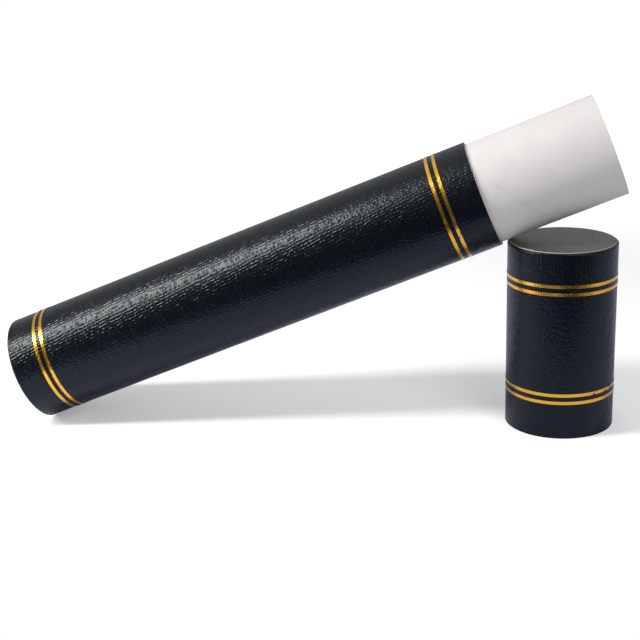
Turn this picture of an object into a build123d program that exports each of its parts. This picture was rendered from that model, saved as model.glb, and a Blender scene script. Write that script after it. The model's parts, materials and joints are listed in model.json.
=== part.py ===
from build123d import *
import os
from math import asin, atan2, cos, hypot, pi, radians, sin

# Diploma tube in millimetres: a card tube wrapped in leatherette paper, with a white inner neck.
# It leans on its own pull-off cap, which stands on its open end beside it.

# Driving dimensions shared by the tube and its cap
outer_diameter = 50.0
wrap_thickness = 0.25
core_wall = 0.95
turn_in = 8.0
fold_radius = 0.6
disc_thickness = 0.5
disc_setback = 1.0
lap_width = 8.0
grain_height = 0.1

# Driving dimensions of the tube and its neck
body_length = 234.5
neck_exposed = 60.3
neck_wall = 1.5
body_lap_angle = 225.0

# Driving dimensions of the cap
cap_length = 87.0
cap_lap_angle = 270.0

# Gold foil lines, stamped in pairs, with each pair's distance from the nearest end
foil_width = 1.5
foil_pitch = 3.6
foil_thickness = 0.05
body_closed_pair = 16.3
body_mouth_pair = 16.8
cap_closed_pair = 16.7
cap_mouth_pair = 19.1

# Fits, and how the tube rests on the cap
glue_line = 0.05
slip_clearance = 0.15
rest_gap = 0.05
rest_past_mouth = 3.7
cap_aside = 4.5

# Radii that follow from them
outer_radius = outer_diameter / 2
core_radius = outer_radius - wrap_thickness
body_bore = core_radius - core_wall
neck_radius = body_bore - glue_line
neck_bore = neck_radius - neck_wall
cap_bore = neck_radius + slip_clearance
disc_radius = outer_radius - disc_setback
turn_in_radius = outer_radius - turn_in
neck_step = outer_radius - neck_radius
lap_arc = lap_width / outer_radius * 180 / pi


def lean_to_clear(reach, height):
    """Lean in radians that lifts the neck's underside to a height, at a reach along it from the heel."""
    return asin(height / hypot(reach, neck_step)) - atan2(neck_step, reach)


# The tube's heel is on the floor and its neck lies on the near edge of the cap's end disc.
rest_reach = body_length + rest_past_mouth
cap_height = cap_length + disc_thickness
lean = max(
    lean_to_clear(rest_reach, cap_height + rest_gap),
    lean_to_clear(rest_reach - disc_setback, cap_length + rest_gap),
)
cap_axis = rest_reach * cos(lean) - neck_step * sin(lean) + disc_radius

# The origin is the middle of the floor area that the pair covers.
heel_disc_corner = -(outer_radius + disc_radius) * sin(lean) - disc_thickness * cos(lean)
heel_fold_corner = -outer_diameter * sin(lean) + fold_radius * (cos(lean) + sin(lean) - 1)
left_end = min(heel_disc_corner, heel_fold_corner)
neck_end = (body_length + neck_exposed) * cos(lean) - neck_step * sin(lean)
right_end = max(neck_end, cap_axis + outer_radius)
heel_x = -(left_end + right_end) / 2

# Each sleeve starts at the middle of its closed end, with Z running to its open end.
tube_start = Plane(
    origin=(heel_x - outer_radius * sin(lean), cap_aside / 2, outer_radius * cos(lean)),
    x_dir=(-sin(lean), 0, cos(lean)),
    z_dir=(cos(lean), 0, sin(lean)),
)
cap_start = Plane(
    origin=(heel_x + cap_axis, -cap_aside / 2, cap_length),
    x_dir=(1, 0, 0),
    z_dir=(0, 0, -1),
)


def along_axis(start):
    """Plane through a sleeve's axis: its X runs outwards and its Y runs to the open end."""
    return Plane(origin=start.origin, x_dir=start.x_dir, z_dir=-start.y_dir)


def polar(radius, angle):
    """Point at a radius and an angle in degrees."""
    return (radius * cos(radians(angle)), radius * sin(radians(angle)))


def lap_face(radius, edge_angle):
    """Overlapping edge of the sheet: it rises over the sheet below and ends in a step."""
    start_angle = edge_angle - lap_arc
    middle_angle = edge_angle - lap_arc / 2
    root = radius - wrap_thickness / 2
    with BuildSketch() as lap:
        with BuildLine():
            ThreePointArc(polar(root, start_angle), polar(root, middle_angle), polar(root, edge_angle))
            Line(polar(root, edge_angle), polar(radius + wrap_thickness, edge_angle))
            ThreePointArc(
                polar(radius + wrap_thickness, edge_angle),
                polar(radius + wrap_thickness / 2, middle_angle),
                polar(radius, start_angle),
            )
            Line(polar(radius, start_angle), polar(root, start_angle))
        make_face()
    return lap.sketch


def sheet_ring(outside, inside, lap_angle):
    """Thin ring on the sheet's surface, which follows the sheet over its own lap."""
    with BuildSketch() as ring:
        Circle(outside)
        add(lap_face(outside, lap_angle))
        Circle(inside, mode=Mode.SUBTRACT)
        add(lap_face(inside, lap_angle), mode=Mode.SUBTRACT)
    return ring.sketch


def line_centres(length, closed_pair, mouth_pair):
    """Places of the four foil lines of a sleeve, from its closed end."""
    pair_centres = (closed_pair, length - mouth_pair)
    return [centre + side * foil_pitch / 2 for centre in pair_centres for side in (-1, 1)]


def write(part, name):
    """Label a finished piece and write it."""
    part.label = name
    export_step(part, f"parts/{name}.step")


def make_wrap(start, length, lap_angle):
    """Leatherette sheet: rolled round the core with a lap, and turned in over the closed end."""
    with BuildPart() as wrap:
        with BuildSketch(along_axis(start)) as section:
            with BuildLine():
                Polyline(
                    (turn_in_radius, 0),
                    (outer_radius, 0),
                    (outer_radius, length),
                    (core_radius, length),
                    (core_radius, wrap_thickness),
                    (turn_in_radius, wrap_thickness),
                    close=True,
                )
            make_face()
            corner = section.vertices().group_by(Axis.Y)[0].sort_by(Axis.X)[-1]
            fillet(corner, fold_radius)
        revolve(axis=Axis(start.origin, start.z_dir))
        with BuildSketch(start.offset(fold_radius)):
            add(lap_face(outer_radius, lap_angle))
        extrude(amount=length - fold_radius)
    return wrap.part


def make_core(start, length, bore):
    """Wound card tube that the sheet is glued round."""
    with BuildPart() as core:
        with BuildSketch(start.offset(wrap_thickness)):
            Circle(core_radius)
            Circle(bore, mode=Mode.SUBTRACT)
        extrude(amount=length - wrap_thickness)
    return core.part


def make_end_disc(start):
    """Card disc glued over the turned-in sheet, which closes the end."""
    with BuildPart() as end_disc:
        with BuildSketch(start):
            Circle(disc_radius)
        extrude(amount=-disc_thickness)
    return end_disc.part


def make_foil_lines(start, lines, lap_angle):
    """Gold foil lines, stamped on the tops of the sheet's grain, which end at the lap."""
    foil_bed = outer_radius + grain_height
    with BuildPart() as foil:
        for line in lines:
            with BuildSketch(start.offset(line - foil_width / 2)):
                add(sheet_ring(foil_bed + foil_thickness, foil_bed, lap_angle))
            extrude(amount=foil_width)
    return foil.part


# White inner tube: glued in for the whole length of the body, and standing out of it as the neck
with BuildPart() as neck_tube:
    with BuildSketch(tube_start.offset(wrap_thickness)):
        Circle(neck_radius)
        Circle(neck_bore, mode=Mode.SUBTRACT)
    extrude(amount=body_length + neck_exposed - wrap_thickness)

# The body and the cap are made the same way, from the same tube, sheet and foil.
os.makedirs("parts", exist_ok=True)
write(neck_tube.part, "neck_tube")
sleeves = (
    ("body", tube_start, body_length, body_bore, body_closed_pair, body_mouth_pair, body_lap_angle),
    ("cap", cap_start, cap_length, cap_bore, cap_closed_pair, cap_mouth_pair, cap_lap_angle),
)
for sleeve, start, length, bore, closed_pair, mouth_pair, lap_angle in sleeves:
    write(make_core(start, length, bore), f"{sleeve}_core")
    write(make_wrap(start, length, lap_angle), f"{sleeve}_wrap")
    write(make_end_disc(start), f"{sleeve}_end_disc")
    lines = line_centres(length, closed_pair, mouth_pair)
    write(make_foil_lines(start, lines, lap_angle), f"{sleeve}_foil_lines")
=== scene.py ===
import json
import math

import bmesh
import bpy
from mathutils import Matrix, Vector


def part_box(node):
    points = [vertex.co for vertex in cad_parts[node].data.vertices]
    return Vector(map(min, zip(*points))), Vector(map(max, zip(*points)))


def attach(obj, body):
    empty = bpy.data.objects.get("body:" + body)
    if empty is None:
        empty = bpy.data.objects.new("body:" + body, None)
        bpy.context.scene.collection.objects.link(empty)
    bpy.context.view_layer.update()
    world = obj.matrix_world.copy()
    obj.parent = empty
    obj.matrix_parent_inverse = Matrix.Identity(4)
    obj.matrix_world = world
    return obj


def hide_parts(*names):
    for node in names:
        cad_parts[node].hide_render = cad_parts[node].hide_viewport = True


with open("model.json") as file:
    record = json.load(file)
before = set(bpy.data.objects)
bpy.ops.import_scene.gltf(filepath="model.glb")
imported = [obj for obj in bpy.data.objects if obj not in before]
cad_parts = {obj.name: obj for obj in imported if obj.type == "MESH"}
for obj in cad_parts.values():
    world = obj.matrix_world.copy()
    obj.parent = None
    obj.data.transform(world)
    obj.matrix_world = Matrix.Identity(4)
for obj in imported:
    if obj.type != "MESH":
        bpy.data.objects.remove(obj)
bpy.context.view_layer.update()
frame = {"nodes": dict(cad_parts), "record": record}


# Body core and cap core: the two card tubes that give the sleeves their shape.
# Grey-brown board wound in thin plies with glue between them; only the cut
# ring at each mouth shows, where the plies stand as fine rings.
BOARD_BROWN = (0.50, 0.37, 0.245, 1)
BOARD_SHADE = (0.42, 0.30, 0.19, 1)
BOARD_GLUE = (0.30, 0.205, 0.125, 1)
BOARD_ROUGHNESS = 0.85
BOARD_FIBRE_DEPTH = 0.00004
PAPER_IOR = 1.4
PLY_THICKNESS = 0.00032
PLY_WANDER = 0.5
PLY_WANDER_SCALE = 260
GLUE_BAND = (0.12, 0.02)
FIBRE_SCALE = 1500
FIBRE_ROUGHNESS = 0.7
FIBRE_BAND = (0.3, 0.7)

mounts = {mount["name"]: mount for mount in frame["record"]["mounts"]}
tube_mouth = Vector(mounts["tube_bore"]["pos_m"])
tube_axis = Vector(mounts["tube_bore"]["axis"]).normalized()
tube_turn = (0, math.atan2(tube_axis.z, tube_axis.x) - math.radians(90), 0)
cap_foot = Vector(mounts["cap_socket"]["pos_m"])
cap_turn = (0, 0, 0)


def new_group(name, inputs, outputs):
    """An empty shader node group with its sockets, and its two end nodes."""
    group = bpy.data.node_groups.new(name, "ShaderNodeTree")
    for label, kind, value in inputs:
        socket = group.interface.new_socket(label, in_out="INPUT", socket_type=kind)
        socket.default_value = value
    for label, kind in outputs:
        group.interface.new_socket(label, in_out="OUTPUT", socket_type=kind)
    return group, group.nodes.new("NodeGroupInput"), group.nodes.new("NodeGroupOutput")


def node(tree, kind, settings=None, values=None):
    """A node with its settings and the values of its unlinked sockets."""
    made = tree.nodes.new(kind)
    for name, value in (settings or {}).items():
        setattr(made, name, value)
    for socket, value in (values or {}).items():
        made.inputs[socket].default_value = value
    return made


def feed(tree, given, socket):
    """Links a node's output to a socket, or sets a plain value there."""
    if isinstance(given, bpy.types.NodeSocket):
        tree.links.new(given, socket)
    else:
        socket.default_value = given


def math_node(tree, operation, *operands):
    """A math node; each operand is a socket or a number."""
    made = node(tree, "ShaderNodeMath", {"operation": operation})
    for socket, operand in zip(made.inputs, operands):
        feed(tree, operand, socket)
    return made.outputs[0]


def smooth_step(tree, value, low, high):
    """A mask that goes softly from 0 at low to 1 at high."""
    made = node(tree, "ShaderNodeMapRange", {"interpolation_type": "SMOOTHSTEP"},
                {"From Min": low, "From Max": high})
    tree.links.new(value, made.inputs["Value"])
    return made.outputs["Result"]


def noise(tree, place, scale, detail, roughness=0.5, dimensions="3D"):
    """A noise from 0 to 1, whose spots are about 1 / scale across."""
    made = node(tree, "ShaderNodeTexNoise", {"noise_dimensions": dimensions},
                {"Scale": scale, "Detail": detail, "Roughness": roughness})
    tree.links.new(place, made.inputs["Vector"])
    return made.outputs["Fac"]


def mix_colour(tree, factor, first, second):
    """A colour mix; each side is a socket or a colour."""
    made = node(tree, "ShaderNodeMix", {"data_type": "RGBA"})
    tree.links.new(factor, made.inputs["Factor"])
    sides = [socket for socket in made.inputs if socket.type == "RGBA"]
    for socket, side in zip(sides, (first, second)):
        feed(tree, side, socket)
    return [socket for socket in made.outputs if socket.type == "RGBA"][0]


def along_tube(tree, foot, turn):
    """Coordinates with the origin at the foot of a tube and Z along its axis."""
    place = node(tree, "ShaderNodeTexCoord")
    shift = node(tree, "ShaderNodeVectorMath", {"operation": "SUBTRACT"})
    rotate = node(tree, "ShaderNodeVectorRotate", {"rotation_type": "EULER_XYZ"})
    tree.links.new(place.outputs["Object"], shift.inputs[0])
    feed(tree, foot, shift.inputs[1])
    tree.links.new(shift.outputs[0], rotate.inputs["Vector"])
    feed(tree, turn, rotate.inputs["Rotation"])
    return rotate.outputs[0]


def from_axis(tree, local):
    """Distance of a place from the axis of its tube."""
    flat = node(tree, "ShaderNodeVectorMath", {"operation": "MULTIPLY"}, {1: (1, 1, 0)})
    spoke = node(tree, "ShaderNodeVectorMath", {"operation": "LENGTH"})
    tree.links.new(local, flat.inputs[0])
    tree.links.new(flat.outputs[0], spoke.inputs[0])
    return spoke.outputs["Value"]


def make_plies_group():
    """Wound card: ply rings across the wall and fine fibres all over."""
    group, given, result = new_group(
        "Wound plies",
        [("Foot", "NodeSocketVector", (0, 0, 0)),
         ("Turn", "NodeSocketVector", (0, 0, 0)),
         ("Ply", "NodeSocketFloat", PLY_THICKNESS)],
        [("Glue line", "NodeSocketFloat"), ("Fibre", "NodeSocketFloat")])
    local = along_tube(group, given.outputs["Foot"], given.outputs["Turn"])
    plies = math_node(group, "DIVIDE", from_axis(group, local), given.outputs["Ply"])
    wander = noise(group, local, PLY_WANDER_SCALE, detail=2)
    loose = math_node(group, "MULTIPLY_ADD", wander, PLY_WANDER, plies)
    into = math_node(group, "PINGPONG", loose, 0.5)
    group.links.new(smooth_step(group, into, *GLUE_BAND), result.inputs["Glue line"])
    fibre = noise(group, local, FIBRE_SCALE, detail=3, roughness=FIBRE_ROUGHNESS)
    group.links.new(fibre, result.inputs["Fibre"])
    return group


wound_plies = make_plies_group()


def new_material(name, values):
    """A material with one Principled shader and its plain values set."""
    material = bpy.data.materials.new(name)
    material.use_nodes = True
    shader = material.node_tree.nodes["Principled BSDF"]
    for socket, value in values.items():
        shader.inputs[socket].default_value = value
    return material, material.node_tree, shader


def place_group(tree, group, values):
    """One use of a shared node group in a material, with its own values."""
    return node(tree, "ShaderNodeGroup", {"node_tree": group}, values)


def bump(tree, shader, height, distance):
    """Relief of that depth in metres on the shader's normal."""
    made = node(tree, "ShaderNodeBump", None, {"Distance": distance})
    tree.links.new(height, made.inputs["Height"])
    tree.links.new(made.outputs["Normal"], shader.inputs["Normal"])


def make_board(name, foot, turn, shade, pale, glue, fibre_depth):
    """Bare wound board, as a cut edge shows it."""
    material, tree, shader = new_material(
        name, {"Roughness": BOARD_ROUGHNESS, "IOR": PAPER_IOR})
    plies = place_group(tree, wound_plies, {"Foot": foot, "Turn": turn})
    fibre = smooth_step(tree, plies.outputs["Fibre"], *FIBRE_BAND)
    board = mix_colour(tree, fibre, shade, pale)
    cut = mix_colour(tree, plies.outputs["Glue line"], board, glue)
    tree.links.new(cut, shader.inputs["Base Color"])
    bump(tree, shader, plies.outputs["Fibre"], fibre_depth)
    return material


def dress(piece, material):
    """Puts one material on all of a piece."""
    piece.data.materials.clear()
    piece.data.materials.append(material)


for sleeve, foot, turn in (("body", tube_mouth, tube_turn), ("cap", cap_foot, cap_turn)):
    board = make_board(f"{sleeve} board", foot, turn,
                       BOARD_SHADE, BOARD_BROWN, BOARD_GLUE, BOARD_FIBRE_DEPTH)
    dress(frame["nodes"][f"{sleeve}_core"], board)


# Neck tube: the inner tube, glued into the body, whose free end is the neck.
# Spiral-wound board with a smooth white paper ply outside, whose edges meet
# in one shallow seam that climbs round the tube, darkened with painted shade.
SEAM_LEAD = 0.0988
SEAM_WIDTH = 0.00040
SEAM_SHOULDER = 1.6
SEAM_DEPTH = 0.00010
SEAM_START = math.radians(44)
SEAM_START_FROM_MOUTH = 0.0603
NECK_SECTORS = 96
NECK_ROWS = 100
EDGE_ROUND = 0.00012
LIP_ROWS = (1, 3)
SEAM_SLOT = 1
LINER_SLOT = 2
PAPER_WHITE = (0.70, 0.69, 0.705, 1)
PAPER_SHADE = (0.682, 0.672, 0.687, 1)
PAPER_ROUGHNESS = 0.62
PAPER_FIBRE_DEPTH = 0.00001
CLOUD_SCALE = 90
CLOUD_BAND = (0.35, 0.65)
# Seam groove faces: the paper darkened with painted shade, standing in for the shade in the
# groove
SEAM_PAINTED_SHADE = (0.50, 0.48, 0.48, 1)
LINER_PALE = (0.60, 0.56, 0.50, 1)
LINER_DARK = (0.47, 0.42, 0.36, 1)
LINER_FIBRE_DEPTH = 0.00002

neck_low, neck_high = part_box("neck_tube")
neck_radius = (neck_high.y - neck_low.y) / 2
neck_bore = mounts["tube_bore"]["dims"]["r_mm"] / 1000
neck_middle = (neck_low + neck_high) / 2
neck_length = (neck_high.x - neck_low.x - 2 * neck_radius * tube_axis.z) / tube_axis.x
neck_foot = neck_middle - tube_axis * neck_length / 2
front_across = Vector((0, -1, 0))
up_across = tube_axis.cross(front_across).normalized()
if up_across.z < 0:
    up_across.negate()


def on_tube(along, radius, angle):
    """A point at a distance along the neck, at an angle up from the front."""
    spoke = front_across * math.cos(angle) + up_across * math.sin(angle)
    return neck_foot + tube_axis * along + spoke * radius


def seam_columns(radius):
    """Angles from the seam, with a few close ones that make its groove."""
    half = SEAM_WIDTH / 2 / radius
    shoulder = half * SEAM_SHOULDER
    plain = [2 * math.pi * i / NECK_SECTORS for i in range(1, NECK_SECTORS)]
    return [0.0, half, shoulder] + plain + [2 * math.pi - shoulder, 2 * math.pi - half]


def wound_skin(build, radius, depth, rows):
    """One face of the wound tube: rows of vertices that turn with the seam."""
    columns = seam_columns(radius)
    rings = []
    for along, inset in rows:
        climbed = along - neck_length + SEAM_START_FROM_MOUTH
        drift = SEAM_START - 2 * math.pi * climbed / SEAM_LEAD
        ring = []
        for k, column in enumerate(columns):
            groove = depth if k == 0 else 0.0
            place = on_tube(along, radius - groove + inset, drift + column)
            ring.append(build.verts.new(place))
        rings.append(ring)
    return rings


def bridge(build, first, second):
    """Faces between two rings that have the same number of vertices."""
    after = [*range(1, len(first)), 0]
    return [build.faces.new((first[i], first[j], second[j], second[i]))
            for i, j in enumerate(after)]


def finish_mesh(name, build):
    """Makes a smooth object of a bmesh, with its faces turned outward."""
    bmesh.ops.recalc_face_normals(build, faces=build.faces)
    mesh = bpy.data.meshes.new(name)
    build.to_mesh(mesh)
    build.free()
    for face in mesh.polygons:
        face.use_smooth = True
    piece = bpy.data.objects.new(name, mesh)
    bpy.context.scene.collection.objects.link(piece)
    return piece


def make_neck():
    """The whole neck tube: outside with its seam, rounded lips and bore."""
    build = bmesh.new()
    plain_rows = [neck_length * i / NECK_ROWS for i in range(1, NECK_ROWS)]
    near_lip = [row * EDGE_ROUND for row in LIP_ROWS]
    outside = [(along, 0.0) for along in near_lip + plain_rows]
    outside += [(neck_length - along, 0.0) for along in reversed(near_lip)]
    outside = [(0.0, -EDGE_ROUND)] + outside + [(neck_length, -EDGE_ROUND)]
    inside = [(along, -inset) for along, inset in outside]
    outer = wound_skin(build, neck_radius, SEAM_DEPTH, outside)
    inner = wound_skin(build, neck_bore, -SEAM_DEPTH, inside)
    for low, high in zip(outer, outer[1:]):
        strip = bridge(build, low, high)
        strip[0].material_index = SEAM_SLOT
        strip[-1].material_index = SEAM_SLOT
    lining = [bridge(build, low, high) for low, high in zip(inner, inner[1:])]
    lining += [bridge(build, outer[end], inner[end]) for end in (0, -1)]
    for strip in lining:
        for face in strip:
            face.material_index = LINER_SLOT
    return finish_mesh("neck_paper_tube", build)


def make_neck_paper(name, shade, white):
    """Smooth white paper with the board's faint cloud showing through."""
    material, tree, shader = new_material(
        name, {"Roughness": PAPER_ROUGHNESS, "IOR": PAPER_IOR})
    plies = place_group(tree, wound_plies, {"Foot": tube_mouth, "Turn": tube_turn})
    place = node(tree, "ShaderNodeTexCoord")
    mottle = noise(tree, place.outputs["Object"], CLOUD_SCALE, detail=4)
    cloud = smooth_step(tree, mottle, *CLOUD_BAND)
    tree.links.new(mix_colour(tree, cloud, shade, white), shader.inputs["Base Color"])
    bump(tree, shader, plies.outputs["Fibre"], PAPER_FIBRE_DEPTH)
    return material


neck = make_neck()
neck.data.materials.append(make_neck_paper("neck paper", PAPER_SHADE, PAPER_WHITE))
# The seam slot gets paper darkened with painted shade along the groove
neck.data.materials.append(make_neck_paper("neck seam", SEAM_PAINTED_SHADE, PAPER_SHADE))
neck.data.materials.append(make_board("neck liner", tube_mouth, tube_turn,
                                      LINER_DARK, LINER_PALE, LINER_DARK, LINER_FIBRE_DEPTH))
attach(neck, "root")
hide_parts("neck_tube")


# Body wrap and cap wrap: the leatherette paper rolled round each sleeve.
# Navy-black coated paper, embossed with rows of short ridges that run along
# the roll, glued down with a lap and turned in over the closed end.
SHEET_RADIUS = 0.025
BODY_LAP = math.radians(225)
CAP_LAP = math.radians(270)
GRAIN_WIDTH = 0.00150
GRAIN_STRETCH = 1.05
GRAIN_SLANT = 0.10
GRAIN_DEPTH = 0.00013
ROW_WANDER = 0.9
ROW_WANDER_SCALE = 0.3
ROW_PEAK = 0.37
ROW_APART = 3.7
RIDGE_BAND = (0.30, 0.78)
CREASED_BAND = (0.36, 0.26)
PATCH_SCALE = 0.12
PATCH_BAND = (0.40, 0.62)
NAVY_BLACK = (0.0012, 0.0020, 0.0040, 1)
NAVY_WORN = (0.0018, 0.0028, 0.0052, 1)
NAVY_GLOSS = (0.59, 0.69, 0.74, 1)
LEATHER_IOR = 1.46
LEATHER_ROUGHNESS = 0.28
LEATHER_CREASED = 0.12

body_roll = (0, tube_turn[1], BODY_LAP - math.radians(90))
cap_roll = (0, 0, CAP_LAP - math.radians(180))


def make_grain_group():
    """Leather grain on a rolled sheet: rows of short ridges that run along it."""
    group, given, result = new_group(
        "Leather grain",
        [("Foot", "NodeSocketVector", (0, 0, 0)),
         ("Turn", "NodeSocketVector", (0, 0, 0)),
         ("Radius", "NodeSocketFloat", SHEET_RADIUS),
         ("Width", "NodeSocketFloat", GRAIN_WIDTH),
         ("Stretch", "NodeSocketFloat", GRAIN_STRETCH),
         ("Slant", "NodeSocketFloat", GRAIN_SLANT)],
        [("Height", "NodeSocketFloat"),
         ("Crease", "NodeSocketFloat"),
         ("Patch", "NodeSocketFloat")])
    local = along_tube(group, given.outputs["Foot"], given.outputs["Turn"])
    split = node(group, "ShaderNodeSeparateXYZ")
    group.links.new(local, split.inputs[0])
    radius, width = given.outputs["Radius"], given.outputs["Width"]

    # Places on the flat sheet, with the turned-in end unfolded, in grain widths
    turned = math_node(group, "ARCTAN2", split.outputs["Y"], split.outputs["X"])
    round_sheet = math_node(group, "MULTIPLY", turned, radius)
    over_fold = math_node(group, "SUBTRACT", radius, from_axis(group, local))
    down_sheet = math_node(group, "ADD", split.outputs["Z"], over_fold)
    slanted = math_node(group, "MULTIPLY_ADD", down_sheet, given.outputs["Slant"], round_sheet)
    long_cell = math_node(group, "MULTIPLY", width, given.outputs["Stretch"])
    cell_across = math_node(group, "DIVIDE", slanted, width)
    cell_along = math_node(group, "DIVIDE", down_sheet, long_cell)
    cells = node(group, "ShaderNodeCombineXYZ")
    group.links.new(cell_across, cells.inputs["X"])
    group.links.new(cell_along, cells.inputs["Y"])

    # Wandering rows, each a ridge that is steeper on one side
    wander = noise(group, cells.outputs[0], ROW_WANDER_SCALE, detail=1, dimensions="2D")
    across = math_node(group, "MULTIPLY_ADD", wander, ROW_WANDER, cell_across)
    row = math_node(group, "FLOOR", across)
    in_row = math_node(group, "SUBTRACT", across, row)
    ridge = math_node(group, "MULTIPLY",
                      smooth_step(group, in_row, 0.0, ROW_PEAK),
                      smooth_step(group, in_row, 1.0, ROW_PEAK))

    # Each row is broken into dashes of its own
    own_row = node(group, "ShaderNodeCombineXYZ")
    group.links.new(math_node(group, "MULTIPLY", row, ROW_APART), own_row.inputs["X"])
    group.links.new(cell_along, own_row.inputs["Y"])
    dashes = noise(group, own_row.outputs[0], 1.0, detail=1, dimensions="2D")
    raised = math_node(group, "MULTIPLY", ridge, smooth_step(group, dashes, *RIDGE_BAND))
    patch = noise(group, cells.outputs[0], PATCH_SCALE, detail=2, dimensions="2D")
    group.links.new(raised, result.inputs["Height"])
    group.links.new(smooth_step(group, dashes, *CREASED_BAND), result.inputs["Crease"])
    group.links.new(smooth_step(group, patch, *PATCH_BAND), result.inputs["Patch"])
    return group


leather_grain = make_grain_group()


def make_leatherette(name, foot, turn):
    """Navy-black coated paper with its embossed grain."""
    material, tree, shader = new_material(
        name, {"IOR": LEATHER_IOR, "Specular Tint": NAVY_GLOSS})
    grain = place_group(tree, leather_grain, {"Foot": foot, "Turn": turn})
    colour = mix_colour(tree, grain.outputs["Patch"], NAVY_BLACK, NAVY_WORN)
    tree.links.new(colour, shader.inputs["Base Color"])
    dull = math_node(tree, "MULTIPLY_ADD", grain.outputs["Crease"],
                     LEATHER_CREASED, LEATHER_ROUGHNESS)
    tree.links.new(dull, shader.inputs["Roughness"])
    bump(tree, shader, grain.outputs["Height"], GRAIN_DEPTH)
    return material


sleeves = (("body", tube_mouth, body_roll), ("cap", cap_foot, cap_roll))
for sleeve, foot, roll in sleeves:
    leatherette = make_leatherette(f"{sleeve} leatherette", foot, roll)
    dress(frame["nodes"][f"{sleeve}_wrap"], leatherette)


# Foil lines: two fine gold lines near each end of both sleeves.
# Hot-stamped metal foil on the leatherette; it takes the grain's relief and
# breaks where the creases are too deep for the stamp.
FOIL_GOLD = (1.0, 0.55, 0.026, 1)
FOIL_DEEP = (0.97, 0.50, 0.02, 1)
BARE_GRAIN = (0.012, 0.009, 0.007, 1)
FOIL_IOR = 1.4
FOIL_LACQUER = 0.8
FOIL_LACQUER_ROUGHNESS = 0.24
FOIL_ROUGHNESS = 0.22
FOIL_CREASED = 0.15
FOIL_RELIEF = 0.26


def make_foil(name, foot, turn):
    """Lacquered gold foil with breaks that show the dark grain."""
    material, tree, shader = new_material(
        name, {"IOR": FOIL_IOR, "Coat Weight": FOIL_LACQUER,
               "Coat Roughness": FOIL_LACQUER_ROUGHNESS})
    grain = place_group(tree, leather_grain, {"Foot": foot, "Turn": turn})
    gold = mix_colour(tree, grain.outputs["Patch"], FOIL_GOLD, FOIL_DEEP)
    broken = math_node(tree, "MULTIPLY", grain.outputs["Crease"], grain.outputs["Patch"])
    kept = math_node(tree, "SUBTRACT", 1.0, broken)
    tree.links.new(mix_colour(tree, kept, BARE_GRAIN, gold), shader.inputs["Base Color"])
    tree.links.new(kept, shader.inputs["Metallic"])
    dull = math_node(tree, "MULTIPLY_ADD", grain.outputs["Crease"],
                     FOIL_CREASED, FOIL_ROUGHNESS)
    tree.links.new(dull, shader.inputs["Roughness"])
    bump(tree, shader, grain.outputs["Height"], GRAIN_DEPTH * FOIL_RELIEF)
    return material


for sleeve, foot, roll in sleeves:
    dress(frame["nodes"][f"{sleeve}_foil_lines"], make_foil(f"{sleeve} foil", foot, roll))


# End discs: the round cards that close each sleeve over the turned-in wrap.
# Grey-faced card cut with a steel rule, so its edge is raw and tan; glued flat,
# with a slight dish, and in the cap's one crease from handling, darkened along it with painted
# shade.
DISC_GREY = (0.052, 0.050, 0.054, 1)
DISC_PALE = (0.064, 0.061, 0.066, 1)
# Painted shade along the crease: the card darkened where the crease's shade falls
DISC_CREASE_PAINTED_SHADE = (0.008, 0.008, 0.009, 1)
# Raw tan edge of the cap's disc, made paler with painted light because it faces the dark room
# in front
DISC_EDGE_TAN_AND_PAINTED_LIGHT = (0.66, 0.50, 0.38, 1)
# Raw edge of the body's disc, coloured near black instead of tan
DISC_EDGE_NEAR_BLACK = (0.05, 0.042, 0.038, 1)
DISC_ROUGHNESS = 0.34
DISC_IOR = 1.75
DISC_FIBRE_DEPTH = 0.00002
MOTTLE_SCALE = 160
MOTTLE_BAND = (0.3, 0.7)
RAW_EDGE_FROM = 0.00010
RAW_EDGE_TO = 0.00003
DISC_RINGS = 110
DISC_SECTORS = 200
DISC_DISH = 0.00008
LIP_SHARE = 0.16
CREASE_DEPTH = 0.00034
CREASE_WIDTH = 0.00045
CREASE_AT = 0.565
CREASE_BEND = 0.12
CREASE_MIDDLE = 0.085
CREASE_REACH = 0.46

disc_low, disc_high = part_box("cap_end_disc")
disc_radius = (disc_high.x - disc_low.x) / 2
disc_thickness = disc_high.z - disc_low.z


def crease_share(x, y):
    """How creased the card is at a place: 1 in the middle of the crease."""
    across, back = x / disc_radius, y / disc_radius
    bow = across - CREASE_AT - CREASE_BEND * back * back
    reach = max(0.0, 1 - ((back - CREASE_MIDDLE) / CREASE_REACH) ** 2)
    return reach * math.exp(-(bow * disc_radius / CREASE_WIDTH) ** 2)


def disc_ring(build, radius, height):
    """A ring of vertices round the disc's axis."""
    angles = (2 * math.pi * k / DISC_SECTORS for k in range(DISC_SECTORS))
    return [build.verts.new(Vector((radius * math.cos(a), radius * math.sin(a), height)))
            for a in angles]


def make_disc(name, middle, turn_to_axis, crease_depth):
    """A round card with its relief on the outer face and a soft cut edge."""
    build = bmesh.new()
    # Each vertex's crease share sets the crease's depth and its painted shade
    crease_and_painted_shade = build.verts.layers.float.new("crease")
    half = disc_thickness / 2
    lip = disc_thickness * LIP_SHARE
    face_radius = disc_radius - lip
    rings = [disc_ring(build, face_radius * ring / DISC_RINGS, 0)
             for ring in range(1, DISC_RINGS + 1)]
    for ring in rings:
        for vertex in ring:
            x, y = vertex.co.x, vertex.co.y
            vertex[crease_and_painted_shade] = crease_share(x, y) if crease_depth else 0.0
            dish = DISC_DISH * (1 - (x * x + y * y) / disc_radius ** 2)
            vertex.co.z = half - dish - crease_depth * vertex[crease_and_painted_shade]
    hub = build.verts.new((0, 0, half - DISC_DISH))
    for k in range(DISC_SECTORS):
        build.faces.new((hub, rings[0][k], rings[0][(k + 1) % DISC_SECTORS]))
    rings.append(disc_ring(build, disc_radius, half - lip))
    rings.append(disc_ring(build, disc_radius, -half + lip))
    rings.append(disc_ring(build, face_radius, -half))
    for inner, outer in zip(rings, rings[1:]):
        bridge(build, inner, outer)
    build.faces.new(rings[-1])
    build.transform(Matrix.Translation(middle) @ turn_to_axis)
    return finish_mesh(name, build)


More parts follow.
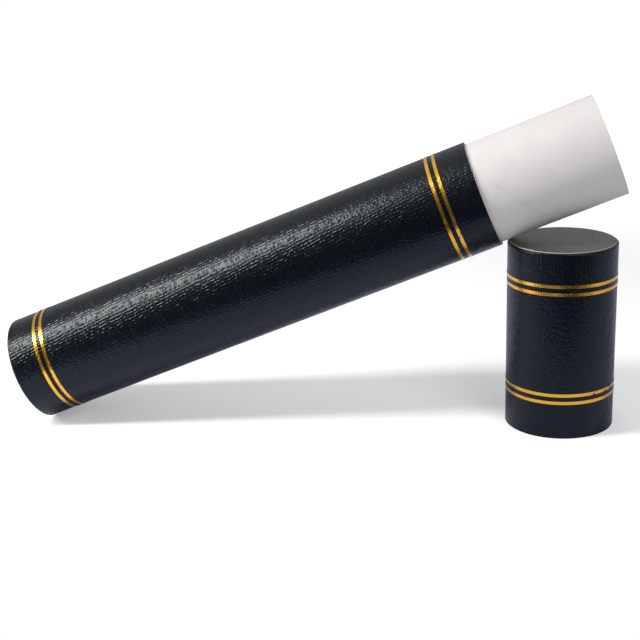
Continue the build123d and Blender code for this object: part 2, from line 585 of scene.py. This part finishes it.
def make_card(name, middle, turn, edge):
    """Grey-faced card with painted shade along its crease, and its raw edge in the given
    colour.
    """
    material, tree, shader = new_material(name, {"Roughness": DISC_ROUGHNESS, "IOR": DISC_IOR})
    plies = place_group(tree, wound_plies, {"Foot": middle, "Turn": turn})
    local = along_tube(tree, middle, turn)
    mottle = noise(tree, local, MOTTLE_SCALE, detail=5)
    plain = mix_colour(tree, smooth_step(tree, mottle, *MOTTLE_BAND), DISC_GREY, DISC_PALE)
    # Painted shade along the cap's crease, read from the crease share stored on the disc
    crease_and_painted_shade = node(tree, "ShaderNodeAttribute", {"attribute_name": "crease"})
    face = mix_colour(tree, crease_and_painted_shade.outputs["Fac"], plain, DISC_CREASE_PAINTED_SHADE)
    raw = smooth_step(tree, from_axis(tree, local),
                      disc_radius - RAW_EDGE_FROM, disc_radius - RAW_EDGE_TO)
    tree.links.new(mix_colour(tree, raw, face, edge), shader.inputs["Base Color"])
    bump(tree, shader, plies.outputs["Fibre"], DISC_FIBRE_DEPTH)
    return material


body_disc_low, body_disc_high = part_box("body_end_disc")
body_disc_middle = (body_disc_low + body_disc_high) / 2
cap_disc_middle = (disc_low + disc_high) / 2
body_outward = (-tube_axis).to_track_quat("Z", "Y").to_matrix().to_4x4()
cap_outward = Matrix.Identity(4)
for node_name, piece_name, middle, outward, turn, edge, crease_depth in (
        ("body_end_disc", "body_end_card",
         body_disc_middle, body_outward, tube_turn, DISC_EDGE_NEAR_BLACK, 0.0),
        ("cap_end_disc", "cap_end_card",
         cap_disc_middle, cap_outward, cap_turn, DISC_EDGE_TAN_AND_PAINTED_LIGHT, CREASE_DEPTH)):
    card = make_disc(piece_name, middle, outward, crease_depth)
    dress(card, make_card(piece_name.replace("_", " "), middle, turn, edge))
    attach(card, "root")
    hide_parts(node_name)


# Floor and light: a pale table with a white surround, not part of the object.
# A soft strip lamp high on the left, a fill lamp at the right front, a pale wall
# behind and a dark room in front; in the sleeves' gloss the table is bluish.
WHITE = (1, 1, 1, 1)
FLOOR_SIZE = 6.0
FLOOR_FRONT = -0.15
FLOOR_PALE = (0.83, 0.845, 0.87, 1)
FLOOR_GLOW = 0.27
FLOOR_CLEAR_BAND = (0.30, 0.75)
TABLE_BLUE = (0.47, 0.57, 0.92, 1)
TABLE_MIRRORED = (0.64, 0.67, 0.86, 1)
TABLE_FRONT_BAND = (-0.03, -0.10)
TABLE_FRONT_GLOW = 0.064
WALL_BAND = (0.1, 0.9)
WALL_LIGHT = 0.39
TOP_BAND = (0.50, 0.95)
TOP_LIGHT = 0.52
ROOM_DARK_AT = 0.16
ROOM_DARK_BAND = (0.14, 0.48)
ROOM_LIGHT = 0.14
ROOM_DARK = 0.01
TABLE_BELOW_BAND = (-0.05, -0.30)
TABLE_LEFT_BAND = (0.16, -0.30)
TABLE_LIGHT = 0.45
LAMP_AT = Vector((-0.479, -0.162, 0.414))
LAMP_AIM = Vector((-0.20, 0.0, 0.0))
LAMP_SIZE = (0.56, 0.10)
LAMP_POWER = 4.8
LAMP_COLOUR = (1.0, 0.935, 0.87)
FILL_AT = Vector((0.55, -0.80, 0.62))
FILL_AIM = Vector((0.0, 0.0, 0.076))
FILL_SIZE = (0.8, 0.6)
FILL_POWER = 4.3
FILL_COLOUR = (1.0, 1.0, 1.0)


def background_ray(tree):
    """1 where the stage is seen directly or through glass, and 1 in gloss."""
    path = node(tree, "ShaderNodeLightPath")
    seen = math_node(tree, "MAXIMUM",
                     path.outputs["Is Camera Ray"], path.outputs["Is Transmission Ray"])
    return seen, path.outputs["Is Glossy Ray"]


def make_floor():
    """A wide plain table that goes to pure white away from the object."""
    build = bmesh.new()
    half = FLOOR_SIZE / 2
    corners = ((-half, FLOOR_FRONT), (half, FLOOR_FRONT), (half, half), (-half, half))
    build.faces.new([build.verts.new((x, y, 0)) for x, y in corners])
    floor = finish_mesh("floor", build)
    material = bpy.data.materials.new("pale table")
    material.use_nodes = True
    tree = material.node_tree
    tree.nodes.remove(tree.nodes["Principled BSDF"])
    matt = node(tree, "ShaderNodeBsdfDiffuse")
    glow = node(tree, "ShaderNodeEmission")
    both = node(tree, "ShaderNodeAddShader")
    place = node(tree, "ShaderNodeTexCoord")
    split = node(tree, "ShaderNodeSeparateXYZ")
    reach = node(tree, "ShaderNodeVectorMath", {"operation": "LENGTH"})
    tree.links.new(place.outputs["Object"], split.inputs[0])
    tree.links.new(place.outputs["Object"], reach.inputs[0])
    seen, in_gloss = background_ray(tree)
    far = smooth_step(tree, reach.outputs["Value"], *FLOOR_CLEAR_BAND)
    clear = math_node(tree, "MULTIPLY_ADD", far, 1 - FLOOR_GLOW, FLOOR_GLOW)
    direct = math_node(tree, "MULTIPLY", seen, clear)
    in_front = smooth_step(tree, split.outputs["Y"], *TABLE_FRONT_BAND)
    front_glow = math_node(tree, "MULTIPLY", in_front, TABLE_FRONT_GLOW)
    mirrored = math_node(tree, "MULTIPLY", in_gloss, front_glow)
    tree.links.new(math_node(tree, "MAXIMUM", direct, mirrored), glow.inputs["Strength"])
    pale = mix_colour(tree, in_gloss, FLOOR_PALE, TABLE_MIRRORED)
    tree.links.new(pale, matt.inputs["Color"])
    tint = mix_colour(tree, in_gloss, WHITE, TABLE_BLUE)
    tree.links.new(tint, glow.inputs["Color"])
    tree.links.new(matt.outputs[0], both.inputs[0])
    tree.links.new(glow.outputs[0], both.inputs[1])
    tree.links.new(both.outputs[0], tree.nodes["Material Output"].inputs["Surface"])
    dress(floor, material)


def make_surround():
    """White to the eye; as light, a pale wall behind and a dark room in front."""
    world = bpy.data.worlds.new("studio")
    world.use_nodes = True
    bpy.context.scene.world = world
    tree = world.node_tree
    back = tree.nodes["Background"]
    place = node(tree, "ShaderNodeTexCoord")
    split = node(tree, "ShaderNodeSeparateXYZ")
    tree.links.new(place.outputs["Generated"], split.inputs[0])
    x, y, z = (split.outputs[name] for name in "XYZ")
    wall = smooth_step(tree, y, *WALL_BAND)
    top = smooth_step(tree, z, *TOP_BAND)
    from_dark = math_node(tree, "ABSOLUTE", math_node(tree, "SUBTRACT", x, ROOM_DARK_AT))
    aside = smooth_step(tree, from_dark, *ROOM_DARK_BAND)
    room = math_node(tree, "MULTIPLY_ADD", aside, ROOM_LIGHT - ROOM_DARK, ROOM_DARK)
    above = math_node(tree, "MULTIPLY_ADD", top, TOP_LIGHT, room)
    behind = math_node(tree, "MULTIPLY_ADD", wall, WALL_LIGHT, above)
    below = math_node(tree, "MULTIPLY",
                      smooth_step(tree, z, *TABLE_BELOW_BAND),
                      smooth_step(tree, x, *TABLE_LEFT_BAND))
    table = math_node(tree, "MULTIPLY", below, TABLE_LIGHT)
    level = math_node(tree, "MAXIMUM", behind, table)
    seen, in_gloss = background_ray(tree)
    tree.links.new(math_node(tree, "MAXIMUM", level, seen), back.inputs["Strength"])
    table_in_gloss = math_node(tree, "MULTIPLY", below, in_gloss)
    tree.links.new(mix_colour(tree, table_in_gloss, WHITE, TABLE_BLUE), back.inputs["Color"])


def make_lamp(name, at, aim, size, power, colour):
    """A soft rectangular lamp, aimed at a point."""
    light = bpy.data.lights.new(name, "AREA")
    light.shape = "RECTANGLE"
    light.size, light.size_y = size
    light.energy = power
    light.color = colour
    lamp = bpy.data.objects.new(name, light)
    lamp.visible_camera = False
    away = (at - aim).normalized()
    across = Vector((0, 1, 0)).cross(away).normalized()
    turned = Matrix((across, away.cross(across), away)).transposed().to_4x4()
    lamp.matrix_world = Matrix.Translation(at) @ turned
    bpy.context.scene.collection.objects.link(lamp)


make_floor()
make_surround()
make_lamp("soft lamp", LAMP_AT, LAMP_AIM, LAMP_SIZE, LAMP_POWER, LAMP_COLOUR)
make_lamp("fill lamp", FILL_AT, FILL_AIM, FILL_SIZE, FILL_POWER, FILL_COLOUR)


# Camera: above the object and slightly to its right, looking a little down,
# with a small turn about its own line of sight.
CAMERA_AT = Vector((0.065361, -0.587331, 0.236551))
CAMERA_AIM = Vector((0.004739, 0.002250, 0.047698))
CAMERA_LENS = 73.487
CAMERA_SENSOR = 36
CAMERA_ROLL = math.radians(-1.841)

view = bpy.data.cameras.new("camera")
view.lens = CAMERA_LENS
view.sensor_width = CAMERA_SENSOR
camera = bpy.data.objects.new("camera", view)
look = (CAMERA_AIM - CAMERA_AT).to_track_quat("-Z", "Y").to_matrix().to_4x4()
roll = Matrix.Rotation(CAMERA_ROLL, 4, "Z")
camera.matrix_world = Matrix.Translation(CAMERA_AT) @ look @ roll
bpy.context.scene.collection.objects.link(camera)
bpy.context.scene.camera = camera
bpy.context.scene.view_settings.view_transform = "Standard"
